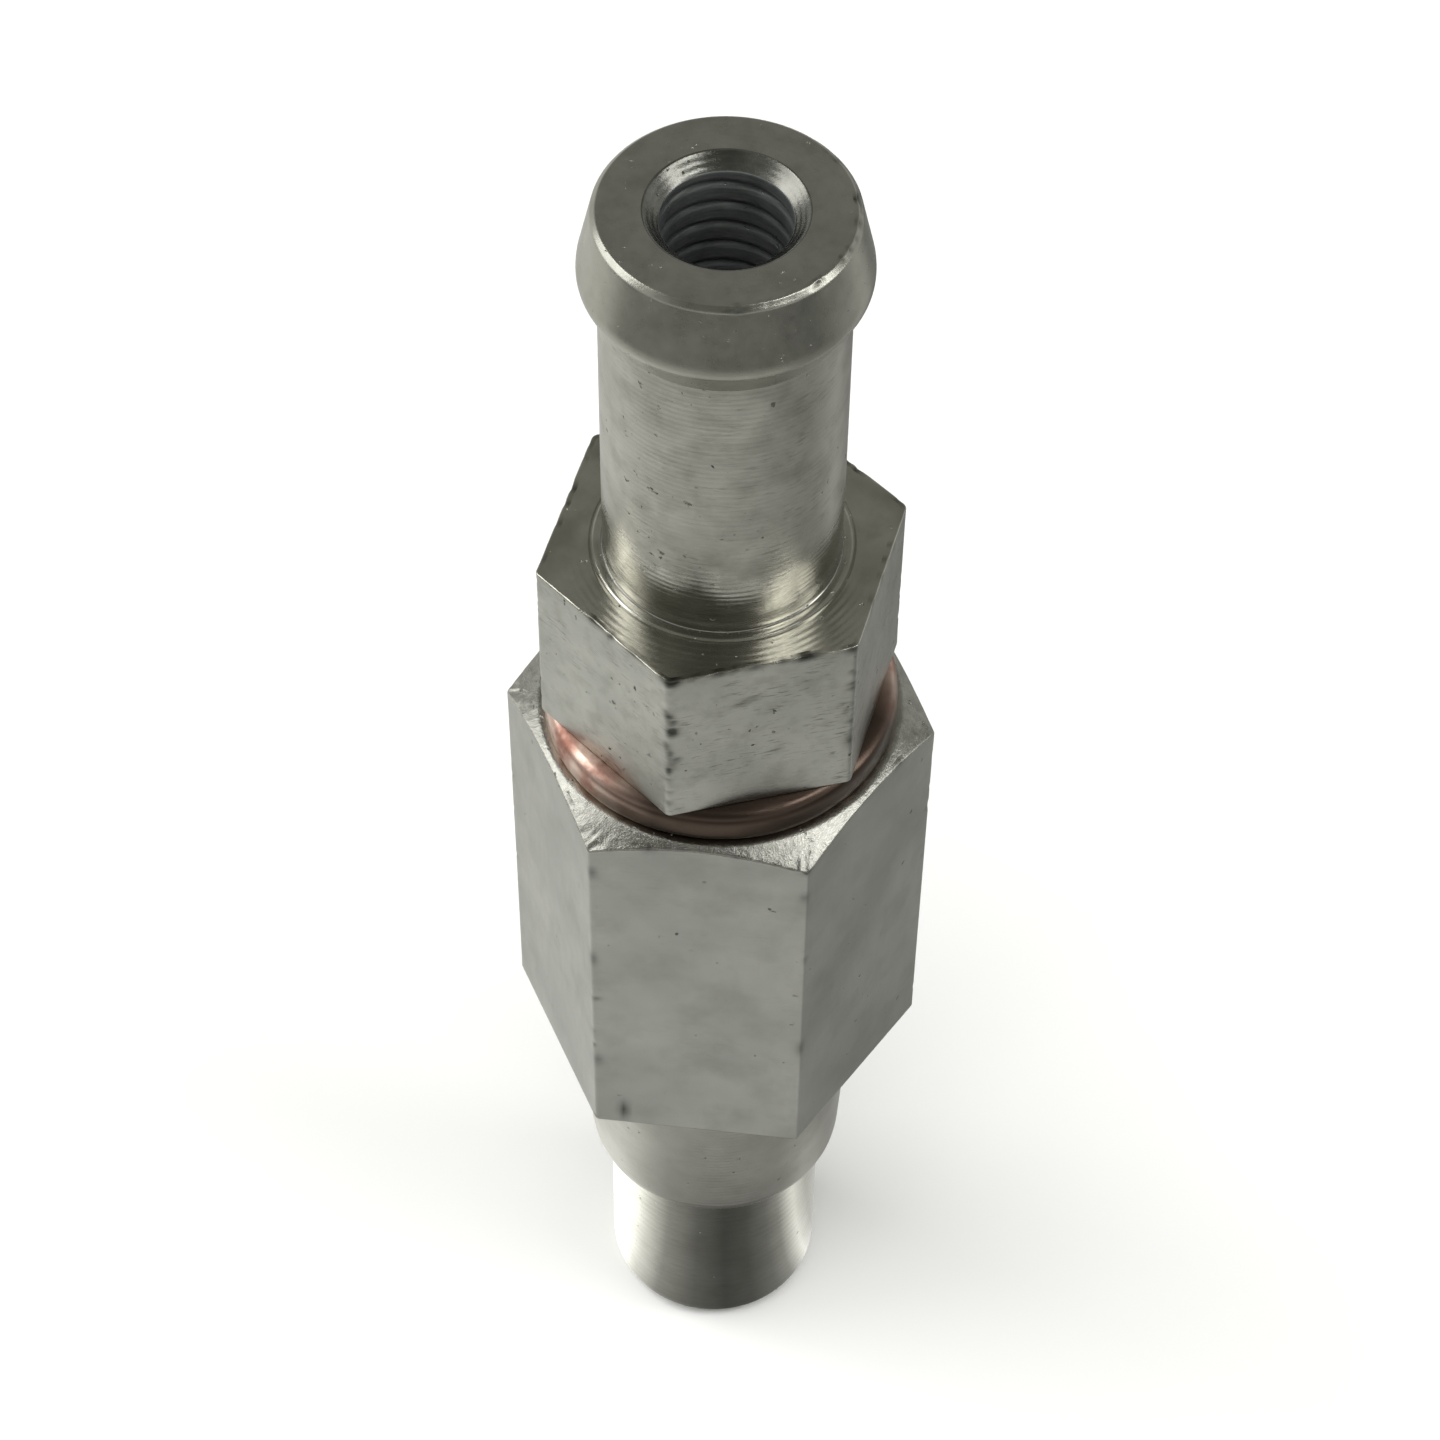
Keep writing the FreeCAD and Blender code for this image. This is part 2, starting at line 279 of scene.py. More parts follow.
plating = dict(
    grainScale=9.0, grainDepth=0.04 * mm, scratchDepth=0.04 * mm, lineDepth=0.03 * mm, pitDepth=0.08 * mm,
    pitStrength=0.6, pitEdge=0.045, pitZoneScale=0.33, pitRough=0.35, stainColour=(0.20, 0.20, 0.17),
    dashStretch=(1.3, 1.3, 10.0), dashZoneScale=0.4, dashColour=(0.13, 0.13, 0.105),
    pitColour=(0.045, 0.043, 0.036), wornColour=(0.03, 0.03, 0.024), wornShare=0.9,
    rootWander=6.0, rootStart=2.2, rootEnd=4.4,
)


def platedSteel(name, look):
    # Colour = slow clouds of tone, then streaks, stains, dashes, pits and worn spots, each laid over the
    # last by its own share. Roughness = rough + spread * scratches + pits * their share. The normal takes
    # fine grain, stretched scratches, lathe lines and sunken pits.
    p = plating
    material, shader, add, link = nodeKit(name)
    place, inMm = piecePlace(add)
    clouds = noise(add, inMm, look["cloudScale"], 3.0)
    grain = noise(add, inMm, p["grainScale"], 5.0, 0.65)
    scratches = noise(add, stretched(add, inMm, look["stretch"]), 1.0, 7.0, 0.7)
    pitField = noise(add, inMm, look["pitScale"], 2.0)
    pitSpots = remap(add, pitField, look["pitLevel"], look["pitLevel"] + p["pitEdge"])
    pitZones = remap(add, noise(add, inMm, p["pitZoneScale"], 1.0), 0.46, 0.60)
    pits = maths(add, "MULTIPLY", pitSpots, pitZones)
    blotches = noise(add, inMm, look["stainScale"], 6.0, 0.55)
    dashField = noise(add, stretched(add, inMm, p["dashStretch"]), 1.0, 4.0)
    dashZone = add("ShaderNodeTexNoise", {"Vector": inMm, "Scale": p["dashZoneScale"], "Detail": 2.0,
                                          "W": 3.0}, noise_dimensions="4D").outputs[0]
    dashes = maths(add, "MULTIPLY", remap(add, dashField, 0.56, 0.66), remap(add, dashZone, 0.45, 0.6))
    wearAndShadeValues = add("ShaderNodeAttribute", attribute_name="wearAndShade").outputs["Fac"]
    colour = tint(add, remap(add, clouds, 0.35, 0.65), look["dark"], look["light"])
    layers = [
        (scratches, 0.35, 0.72, look["streak"], look["streakColour"]),
        (blotches, 0.48, 0.68, look["stain"], p["stainColour"]),
        (dashes, 0.0, 1.0, look["dash"], p["dashColour"]),
        (pits, 0.0, 1.0, look["pitTone"], p["pitColour"]),
        (wearAndShadeValues, 0.0, 1.0, p["wornShare"], p["wornColour"]),
    ]
    for layer, low, high, share, layerColour in layers:
        colour = tint(add, remap(add, layer, low, high, 0.0, share), colour, layerColour)
    link(colour, shader.inputs["Base Color"])
    spread = remap(add, scratches, 0.3, 0.7, -0.5, 0.5)
    rough = maths(add, "MULTIPLY_ADD", spread, look["roughSpread"], look["rough"])
    rough = maths(add, "MULTIPLY_ADD", pits, p["pitRough"], rough)
    if "rootHeight" in look:
        # Glossier near the root: share = 1 below rootHeight, 0 above it, wandering with the blotches.
        rise = add("ShaderNodeSeparateXYZ", {0: inMm}).outputs[2]
        wandering = maths(add, "MULTIPLY_ADD", blotches, p["rootWander"], rise)
        root = look["rootHeight"]
        share = remap(add, wandering, root + p["rootStart"], root + p["rootEnd"], 1.0, 0.0)
        rough = maths(add, "MULTIPLY_ADD", share, -look["rootDrop"], rough)
    link(rough, shader.inputs["Roughness"])
    shader.inputs["Metallic"].default_value = look.get("metallic", 1.0)
    lines = add("ShaderNodeTexWave", {"Vector": inMm, "Scale": look["lineScale"], "Detail": 2.0,
                                      "Distortion": look["lineWander"], "Detail Scale": 0.6},
                wave_type=look["lineType"], bands_direction="Z", rings_direction="Z").outputs[1]
    normal = bump(add, grain, look["grain"], p["grainDepth"])
    normal = bump(add, scratches, look["scratch"], p["scratchDepth"], normal)
    normal = bump(add, lines, look["lines"], p["lineDepth"], normal)
    normal = bump(add, pits, p["pitStrength"], p["pitDepth"], normal, sunken=True)
    link(normal, shader.inputs["Normal"])
    if look["stretchGloss"] > 0:
        # Turning marks run round the axis, so the gloss spreads across them: tangent = axis x place.
        around = add("ShaderNodeVectorMath", {0: (0, 0, 1), 1: place}, operation="CROSS_PRODUCT").outputs[0]
        link(add("ShaderNodeVectorMath", {0: around}, operation="NORMALIZE").outputs[0],
             shader.inputs["Tangent"])
        shader.inputs["Anisotropic"].default_value = look["stretchGloss"]
        shader.inputs["Anisotropic Rotation"].default_value = 0.25
    return material


steelLooks = {
    "capFlats": dict(dark=(0.335, 0.34, 0.312), light=(0.42, 0.422, 0.388), streak=0.5,
                     streakColour=(0.46, 0.46, 0.43), cloudScale=0.28, stretch=(0.7, 0.7, 6.0), stain=0.34,
                     stainScale=1.0, dash=0.7, pitScale=1.9, pitLevel=0.68, pitTone=0.75, rough=0.32,
                     roughSpread=0.14, grain=0.18, scratch=0.25, lines=0.0, lineType="BANDS", lineScale=1.2,
                     lineWander=1.0, stretchGloss=0.0),
    "bodyFlats": dict(dark=(0.32, 0.326, 0.302), light=(0.42, 0.424, 0.396), streak=0.25,
                      streakColour=(0.45, 0.45, 0.42), cloudScale=0.16, stretch=(2.2, 2.2, 0.5), stain=0.26,
                      stainScale=0.35, dash=0.08, pitScale=1.5, pitLevel=0.71, pitTone=0.5, rough=0.38,
                      roughSpread=0.10, grain=0.16, scratch=0.10, lines=0.0, lineType="BANDS",
                      lineScale=1.2, lineWander=1.0, stretchGloss=0.0),
    "polished": dict(dark=(0.44, 0.435, 0.39), light=(0.53, 0.525, 0.485), streak=0.35,
                     streakColour=(0.60, 0.60, 0.56), cloudScale=0.3, stretch=(0.35, 0.35, 6.0), stain=0.15,
                     stainScale=0.5, dash=0.15, pitScale=2.3, pitLevel=0.72, pitTone=0.4, rough=0.11,
                     roughSpread=0.08, grain=0.03, scratch=0.12, lines=0.12, lineType="BANDS",
                     lineScale=0.55, lineWander=0.5, stretchGloss=0.3),
    "turnedDull": dict(dark=(0.35, 0.345, 0.31), light=(0.46, 0.455, 0.41), streak=0.5,
                       streakColour=(0.50, 0.49, 0.455), cloudScale=0.45, stretch=(0.5, 0.5, 6.5),
                       stain=0.40, stainScale=0.55, dash=0.35, pitScale=2.0, pitLevel=0.685, pitTone=0.7,
                       rough=0.35, roughSpread=0.14, grain=0.08, scratch=0.25, lines=0.12,
                       lineType="BANDS", lineScale=0.95, lineWander=0.9, stretchGloss=0.3,
                       rootHeight=69.0, rootDrop=0.21),
    "neckDull": dict(dark=(0.36, 0.355, 0.325), light=(0.43, 0.425, 0.395), streak=0.3,
                     streakColour=(0.47, 0.465, 0.43), cloudScale=0.35, stretch=(0.4, 0.4, 5.5), stain=0.2,
                     stainScale=0.4, dash=0.12, pitScale=2.2, pitLevel=0.70, pitTone=0.5, rough=0.42,
                     roughSpread=0.12, grain=0.15, scratch=0.15, lines=0.08, lineType="BANDS",
                     lineScale=0.95, lineWander=0.9, stretchGloss=0.2),
    "facedSatin": dict(dark=(0.33, 0.33, 0.29), light=(0.39, 0.39, 0.345), streak=0.25,
                       streakColour=(0.46, 0.45, 0.41), cloudScale=0.5, stretch=(1.2, 1.2, 1.2), stain=0.2,
                       stainScale=0.8, dash=0.0, pitScale=3.0, pitLevel=0.70, pitTone=0.4, rough=0.30,
                       roughSpread=0.10, grain=0.16, scratch=0.10, lines=0.03, lineType="RINGS",
                       lineScale=1.1, lineWander=0.4, stretchGloss=0.3),
    "facedRings": dict(dark=(0.39, 0.385, 0.33), light=(0.50, 0.49, 0.43), streak=0.25,
                       streakColour=(0.50, 0.49, 0.44), cloudScale=0.4, stretch=(1.2, 1.2, 1.2), stain=0.35,
                       stainScale=0.6, dash=0.0, pitScale=2.0, pitLevel=0.70, pitTone=0.6, rough=0.22,
                       roughSpread=0.10, grain=0.03, scratch=0.06, lines=0.18, lineType="RINGS",
                       lineScale=0.9, lineWander=0.3, stretchGloss=0.6),
    "bruised": dict(dark=(0.27, 0.27, 0.24), light=(0.42, 0.415, 0.375), streak=0.3,
                    streakColour=(0.60, 0.60, 0.56), cloudScale=0.9, stretch=(2.8, 2.8, 2.8), stain=0.25,
                    stainScale=0.9, dash=0.0, pitScale=2.4, pitLevel=0.68, pitTone=0.5, rough=0.15,
                    roughSpread=0.12, grain=0.35, scratch=0.9, lines=0.0, lineType="RINGS", lineScale=1.0,
                    lineWander=0.5, stretchGloss=0.0),
    # Painted shade: the countersink and the fillet at the tail's root take this darker steel.
    "sinkPaintedShade": dict(dark=(0.13, 0.13, 0.115), light=(0.22, 0.22, 0.20), streak=0.3,
                     streakColour=(0.34, 0.34, 0.31), cloudScale=0.6, stretch=(1.0, 1.0, 3.0), stain=0.2,
                     stainScale=0.9, dash=0.0, pitScale=3.0, pitLevel=0.68, pitTone=0.5, rough=0.24,
                     roughSpread=0.14, grain=0.20, scratch=0.25, lines=0.2, lineType="BANDS", lineScale=1.4,
                     lineWander=0.6, stretchGloss=0.2),
    # Painted shade: the bores, threads and hidden inner walls take this darker steel.
    "borePaintedShade": dict(dark=(0.12, 0.132, 0.132), light=(0.20, 0.215, 0.212), streak=0.3,
                     streakColour=(0.34, 0.34, 0.32), cloudScale=0.6, stretch=(1.0, 1.0, 4.0), stain=0.2,
                     stainScale=0.9, dash=0.2, pitScale=3.0, pitLevel=0.66, pitTone=0.6, rough=0.40,
                     roughSpread=0.14, grain=0.25, scratch=0.2, lines=0.1, lineType="BANDS", lineScale=1.4,
                     lineWander=0.6, stretchGloss=0.0, metallic=0.65),
}
steel = [platedSteel(name, look) for name, look in steelLooks.items()]
(capFlats, bodyFlats, polished, turnedDull, neckDull, facedSatin, facedRings, bruised, sinkPaintedShade,
 borePaintedShade) = range(len(steel))

softLooks = {
    "annealedCopper": dict(dark=(0.54, 0.37, 0.30), light=(0.70, 0.54, 0.46), patch=(0.38, 0.19, 0.145),
                           paintedShade=(0.088, 0.064, 0.05), rough=0.30, patchRough=0.5, scale=0.8),
    "turnedBrass": dict(dark=(0.60, 0.45, 0.20), light=(0.72, 0.58, 0.30), patch=(0.46, 0.33, 0.16),
                        paintedShade=(0.088, 0.064, 0.05), rough=0.25, patchRough=0.4, scale=0.9),
    "springWire": dict(dark=(0.46, 0.46, 0.45), light=(0.60, 0.60, 0.59), patch=(0.36, 0.35, 0.33),
                       paintedShade=(0.088, 0.064, 0.05), rough=0.22, patchRough=0.35, scale=1.4),
}


def softMetal(name):
    # Copper, brass or wire: colour = two tones in clouds, then patches of tarnish, then painted shade by
    # the wearAndShade attribute, which on the washer darkens its front side.
    # Roughness goes from rough to patchRough with the tarnish, and the normal takes a fine grain.
    look = softLooks[name]
    material, shader, add, link = nodeKit(name)
    inMm = piecePlace(add)[1]
    clouds = noise(add, inMm, look["scale"], 4.0)
    tarnishAndShade = remap(add, noise(add, inMm, look["scale"] * 0.45, 6.0, 0.6), 0.5, 0.66)
    # Painted shade: the attribute darkens the copper washer's front side towards this dark colour.
    paintedShade = add("ShaderNodeAttribute", attribute_name="wearAndShade").outputs["Fac"]
    colour = tint(add, remap(add, clouds, 0.35, 0.65), look["dark"], look["light"])
    colour = tint(add, tarnishAndShade, colour, look["patch"])
    link(tint(add, paintedShade, colour, look["paintedShade"]), shader.inputs["Base Color"])
    link(remap(add, tarnishAndShade, 0, 1, look["rough"], look["patchRough"]), shader.inputs["Roughness"])
    shader.inputs["Metallic"].default_value = 1.0
    link(bump(add, noise(add, inMm, 12.0, 4.0), 0.15, 0.04 * mm), shader.inputs["Normal"])
    return material


def sealRubber(name):
    # Matt black rubber: a fine moulded grain sets its tone, its roughness and its bumps.
    material, shader, add, link = nodeKit(name)
    grain = noise(add, piecePlace(add)[1], 7.0, 4.0)
    link(tint(add, grain, (0.018, 0.018, 0.019), (0.035, 0.035, 0.036)), shader.inputs["Base Color"])
    link(remap(add, grain, 0.3, 0.7, 0.55, 0.75), shader.inputs["Roughness"])
    link(bump(add, grain, 0.3, 0.03 * mm), shader.inputs["Normal"])
    return material


copper = softMetal("annealedCopper")
brass = softMetal("turnedBrass")
rubber = sealRubber("sealRubber")
wireSteel = softMetal("springWire")
print("finishes made")

bodySizes = dict(
    columnsPerSide=52, crowding=0.95, waveSeed=7, nickSeed=21, bruiseSeed=5,
    spigotRadius=6.0, spigotLength=13.2, spigotEdge=0.9, inletBore=3.5, boreLead=0.35,
    neckFoot=7.1, neckTop=7.7, neckRise=1.3, hexFoot=27.0, flats=(bodyHigh.y - bodyLow.y) / mm,
    cornerRound=0.22, chamferReach=9.2, chamferSlope=np.tan(np.radians(30)),
    threadReach=7.05, threadLead=0.5, shoulder=guideLow.z / mm, chamberReach=6.2,
    seat=31.0, seatBore=3.8, seatBoreFoot=27.0, edge=0.12, innerEdge=0.05,
    uneven=0.012, unevenFade=1.5,               # how far the flats are from true, and from its ends
    bruise=0.045, bruiseStart=0.1, bruiseFade=1.2, bruiseRise=1.3,
    skin=0.3, darkDepth=0.08, nicks=26, nickTop=1.0,    # a dent of darkDepth is quite dark
    marks=[(240.6, 50.2, 0.25, 0.5, 0.045), (240.2, 42.5, 0.22, 0.6, 0.045), (240.8, 33.0, 0.25, 0.5, 0.04),
           (299.6, 49.8, 0.25, 0.4, 0.04), (247.5, 28.2, 0.2, 0.8, 0.08), (300.3, 36.0, 0.2, 0.6, 0.04)],
)


def makeBody():
    # The section carried round the axis, its hexagon as reach = hexReach(angle). The top of the hexagon
    # is a cone: height = top - (reach - chamferReach) * chamferSlope.
    b = bodySizes
    angles = hexAngles(0, b["columnsPerSide"], b["crowding"])
    side = hexReach(angles, 0, b["flats"], b["cornerRound"])
    top = bodyHigh.z / mm
    chamferFoot = top - (side - b["chamferReach"]) * b["chamferSlope"]
    neckTurn = b["spigotLength"] + b["neckRise"]
    e, inner = b["edge"], b["innerEdge"]
    corners = [
        (b["inletBore"] + b["boreLead"], 0.0, inner, 3, facedSatin),
        (b["spigotRadius"] - b["spigotEdge"], 0.0, 0.35, 2, polished),
        (b["spigotRadius"], b["spigotEdge"], 0.5, 24, polished),
        (b["spigotRadius"], b["spigotLength"], 0.15, 3, neckDull),
        (b["neckFoot"], neckTurn, 0.55, 22, neckDull),
        (b["neckTop"], b["hexFoot"], 0.3, 4, facedSatin),
        (side, b["hexFoot"], e, 72, bodyFlats),
        (side, chamferFoot, e * 0.8, 18, bruised),
        (b["chamferReach"], top, e, 10, bruised),
        (b["threadReach"] + b["threadLead"], top, inner, 2, borePaintedShade),
        (b["threadReach"], top - b["threadLead"], inner, 6, borePaintedShade),
        (b["threadReach"], b["shoulder"], inner, 2, borePaintedShade),
        (b["chamberReach"], b["shoulder"], inner, 8, borePaintedShade),
        (b["chamberReach"], b["seat"], inner, 3, borePaintedShade),
        (b["seatBore"], b["seat"], 0.12, 3, borePaintedShade),
        (b["seatBore"], b["seatBoreFoot"], inner, 1, borePaintedShade),
        (b["inletBore"], b["seatBoreFoot"], inner, 12, borePaintedShade),
        (b["inletBore"], b["boreLead"], inner, 1, borePaintedShade),
    ]
    rows, finishes = sectionRows(corners, len(angles))
    # Uneven flats: reach drops by uneven * (1 + slow waves), fading out towards foot and top.
    onHex = (rows[..., 0] > b["chamferReach"]) & (rows[..., 1] > b["hexFoot"] + b["skin"])
    fade = np.clip((rows[..., 1] - b["hexFoot"]) / b["unevenFade"], 0, 1)
    fade = fade * np.clip((top - b["unevenFade"] - rows[..., 1]) / b["unevenFade"], 0, 1)
    rows[..., 0] -= onHex * fade * b["uneven"] * (1 + slowWaves(angles, rows[..., 1], b["waveSeed"]))
    outside = rows[..., 0] > side - b["skin"]
    nicks = edgeNicks(0, top - b["skin"], b["hexFoot"], top - b["nickTop"], b["nicks"],
                      b["nickSeed"])
    taken = outside * dents(angles, rows[..., 1], b["marks"] + nicks, b["flats"] / 2)
    rows[..., 0] -= taken
    # Bruised chamfer: the cone drops by bruise * (1 + quick waves), most of it out at the corners.
    onChamfer = np.clip((rows[..., 0] - b["chamferReach"] - b["bruiseStart"]) / b["bruiseFade"], 0, 1)
    onChamfer = onChamfer * (rows[..., 1] > top - b["bruiseRise"])
    rows[..., 1] -= onChamfer * b["bruise"] * (1 + quickWaves(angles, rows[..., 0], b["bruiseSeed"]))
    body = gridMesh("valveBodyTurned", rows, angles, finishes, steel, wearAndShade=taken / b["darkDepth"])
    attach(body, "valve")
    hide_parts("valve_body")


capSizes = dict(
    columnsPerSide=48, crowding=0.95, waveSeed=11, nickSeed=23, mouthSeed=31,
    turn=20.4, flats=16.0, cornerRound=0.38, hexTop=65.6, edge=0.10,
    tailReach=5.8, tailFillet=0.06, rootGroove=0.07, grooveReach=6.35, mouthReach=5.8, mouthEdge=0.25,
    beadReach=6.7, beadFlank=3.0, beadLand=0.5, beadUndercut=1.7,
    boreReach=3.0, countersink=0.7, threadPitch=1.25, threadDepth=0.17, threadLength=11.0,
    shankReach=7.0, shankBore=5.25, shankLead=0.5, boreTop=50.8, uneven=0.012,
    ringDepth=0.004, ringPitch=0.42, ringStart=0.6, grooveWidth=0.08, innerEdge=0.05, unevenFade=1.2,
    threadFull=2.7, threadLeadIn=0.5, threadRunOut=0.8, skin=0.3, darkDepth=0.08, nicks=54,
    mouthNicks=34, mouthArc=(-85, 60), mouthBand=0.5, mouthDrop=0.1, mouthSpread=0.06,
    mouthWide=(0.06, 0.22), mouthTall=(0.05, 0.12), mouthDeep=(0.02, 0.06),
    marks=[(260.6, 62.9, 0.24, 0.24, 0.08), (262.0, 62.4, 0.2, 0.2, 0.07), (261.2, 61.7, 0.18, 0.3, 0.07),
           (262.6, 61.5, 0.16, 0.16, 0.05), (259.8, 60.6, 0.2, 0.3, 0.06), (261.0, 60.0, 0.15, 0.3, 0.06),
           (262.8, 59.5, 0.22, 0.2, 0.06), (260.4, 58.7, 0.15, 0.25, 0.05), (320.4, 58.5, 0.3, 0.6, 0.05),
           (261.0, 65.45, 0.4, 0.2, 0.10), (288.0, 65.5, 0.5, 0.15, 0.06), (304.0, 65.5, 0.4, 0.15, 0.05),
           (319.5, 65.5, 0.3, 0.2, 0.07), (276.0, 65.5, 0.35, 0.15, 0.05), (287.0, 63.2, 0.5, 0.18, 0.05),
           (283.5, 62.9, 0.4, 0.14, 0.05)],
)


def makeCap():
    # The section carried round the axis, its hexagon as reach = hexReach(angle), then the thread, the
    # facing rings, the tool groove, the uneven flats and the nicks are taken away from the rows.
    c = capSizes
    angles = hexAngles(c["turn"], c["columnsPerSide"], c["crowding"])
    side = hexReach(angles, c["turn"], c["flats"], c["cornerRound"])
    foot, mouth, shankFoot = washerHigh.z / mm, capHigh.z / mm, capLow.z / mm
    landFoot = mouth - c["mouthEdge"] - c["beadFlank"] - c["beadLand"]
    threadFoot = mouth - c["threadLength"]
    e, inner = c["edge"], c["innerEdge"]
    corners = [
        (c["shankBore"], shankFoot, inner, 2, borePaintedShade),
        (c["shankReach"] - c["shankLead"], shankFoot, inner, 1, borePaintedShade),
        (c["shankReach"], shankFoot + c["shankLead"], inner, 5, borePaintedShade),
        (c["shankReach"], foot, 0.03, 3, borePaintedShade),
        (side, foot, e, 52, capFlats),
        (side, c["hexTop"], e, 36, facedRings),
        (c["tailReach"] + c["tailFillet"], c["hexTop"], 0.02, 1, sinkPaintedShade),
        (c["tailReach"], c["hexTop"] + c["tailFillet"], 0.15, 14, turnedDull),
        (c["tailReach"], landFoot - c["beadUndercut"], inner, 6, facedSatin),
        (c["beadReach"], landFoot, 0.8, 2, facedSatin),
        (c["beadReach"], landFoot + c["beadLand"], 1.2, 10, facedSatin),
        (c["mouthReach"] + c["mouthEdge"], mouth - c["mouthEdge"], 0.08, 1, facedSatin),
        (c["mouthReach"], mouth, 0.06, 16, facedSatin),
        (c["boreReach"] + c["countersink"], mouth, 0.07, 5, sinkPaintedShade),
        (c["boreReach"], mouth - c["countersink"], inner, 72, borePaintedShade),
        (c["boreReach"], threadFoot, 0.0, 8, borePaintedShade),
        (c["boreReach"], c["boreTop"] + c["shankBore"] - c["boreReach"], inner, 2, borePaintedShade),
        (c["shankBore"], c["boreTop"], inner, 3, borePaintedShade),
    ]
    rows, finishes = sectionRows(corners, len(angles))
    reach, height = rows[..., 0].copy(), rows[..., 1].copy()
    # Thread: the wall steps out by depth * clip(4 * |2 frac(height / pitch - turns) - 1| - full, 0, 1).
    inBore = (np.abs(reach - c["boreReach"]) < 0.02) & (height > threadFoot)
    phase = (height / c["threadPitch"] - angles / (2 * np.pi)) % 1
    groove = np.clip(4 * np.abs(2 * phase - 1) - c["threadFull"], 0, 1)
    lead = np.clip((mouth - c["countersink"] - height) / c["threadLeadIn"], 0, 1)
    lead = lead * np.clip((height - threadFoot) / c["threadRunOut"], 0, 1)
    rows[..., 0] += inBore * lead * groove * c["threadDepth"]
    # Facing rings: the flat top of the hexagon dips by depth * (1 - cos(2 pi reach / pitch)) / 2.
    onTop = np.abs(height - c["hexTop"]) < 0.001
    onRings = onTop & (reach > c["tailReach"] + c["ringStart"]) & (reach < c["flats"] / 2 - c["skin"])
    rows[..., 1] -= onRings * c["ringDepth"] * (1 - np.cos(2 * np.pi * reach / c["ringPitch"])) / 2
    # Tool groove round the root: the face dips by depth * exp(-((reach - its middle) / width)^2).
    rootDip = np.exp(-((reach - c["grooveReach"]) / c["grooveWidth"]) ** 2)
    rows[..., 1] -= onTop * c["rootGroove"] * rootDip
    # Uneven flats: reach drops by uneven * (1 + slow waves), fading out towards foot and top.
    onHex = (height > foot + c["skin"]) & (height < c["hexTop"] - c["skin"])
    onHex &= reach > c["flats"] / 2 - 0.05
    fade = np.clip((height - foot) / c["unevenFade"], 0, 1)
    fade = fade * np.clip((c["hexTop"] - height) / c["unevenFade"], 0, 1)
    rows[..., 0] -= onHex * fade * c["uneven"] * (1 + slowWaves(angles, height, c["waveSeed"]))
    outside = reach > side - c["skin"]
    nicks = edgeNicks(c["turn"], c["hexTop"], foot, c["hexTop"], c["nicks"], c["nickSeed"])
    taken = outside * dents(angles, height, c["marks"] + nicks, c["flats"] / 2)
    # The mouth's outer edge is nicked over the arc that knocks against things.
    random = np.random.default_rng(c["mouthSeed"])
    count = c["mouthNicks"]
    mouthMarks = [random.uniform(*c["mouthArc"], count),
                  random.normal(mouth - c["mouthDrop"], c["mouthSpread"], count),
                  random.uniform(*c["mouthWide"], count),
                  random.uniform(*c["mouthTall"], count),
                  random.uniform(*c["mouthDeep"], count)]
    onMouth = (height > mouth - c["mouthBand"]) & (reach > c["mouthReach"] - 0.15)
    taken = taken + onMouth * dents(angles, height, np.stack(mouthMarks, 1).tolist(), c["mouthReach"])
    rows[..., 0] -= taken
    cap = gridMesh("outletCapTurned", rows, angles, finishes, steel, wearAndShade=taken / c["darkDepth"])
    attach(cap, "valve")
    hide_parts("outlet_cap")


# The shade sizes paint shade on the washer: its copper is coloured darker on the front side.
washerSizes = dict(inner=7.1, outer=9.0, innerEdge=0.15, topEdge=1.5, footEdge=0.5, squeeze=0.05,
                   shadedSide=300, shadeSwing=2.4, shadeDrop=0.7, shadeWaves=0.25,
                   columns=256, bulgeSeed=3, shadeSeed=9)


def makeWasher():
    # A squeezed ring: its rim bulges by reach = outer - squeeze * (1 + slow waves).
    w = washerSizes
    angles = evenAngles(w["columns"])
    low, high = washerLow.z / mm, washerHigh.z / mm
    bulge = w["outer"] - w["squeeze"] * (1 + slowWaves(angles, 0, w["bulgeSeed"]))
    corners = [
        (w["inner"], low, w["innerEdge"], 4, 0),
        (bulge, low, w["footEdge"], 5, 0),
        (bulge, high, w["topEdge"], 4, 0),
        (w["inner"], high, w["innerEdge"], 3, 0),
    ]
    rows, finishes = sectionRows(corners, len(angles), bendSteps=10)
    # Painted shade = swing * cos(angle - its shaded side) - drop, broken up by slow waves, from 0 to 1: the
    # copper is painted darker towards the front of the ring.
    tarnishAndShade = w["shadeSwing"] * np.cos(angles - np.radians(w["shadedSide"])) - w["shadeDrop"]
    tarnishAndShade = tarnishAndShade + w["shadeWaves"] * slowWaves(angles, rows[..., 1], w["shadeSeed"])
    washer = gridMesh("sealingWasher", rows, angles, finishes, [copper], wearAndShade=np.clip(tarnishAndShade, 0, 1))
    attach(washer, "valve")
    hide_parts("copper_washer")


poppetSizes = dict(nose=2.8, noseFoot=29.1, noseEdge=0.5, sealFoot=31.1, headFoot=31.9, headTop=34.4,
                   head=5.2, sealInner=3.9, stop=1.9, stopFillet=0.2, stopTop=39.45, stem=1.5,
                   stemTop=47.5, stemEdge=0.4, edge=0.15, innerEdge=0.05, columns=128)


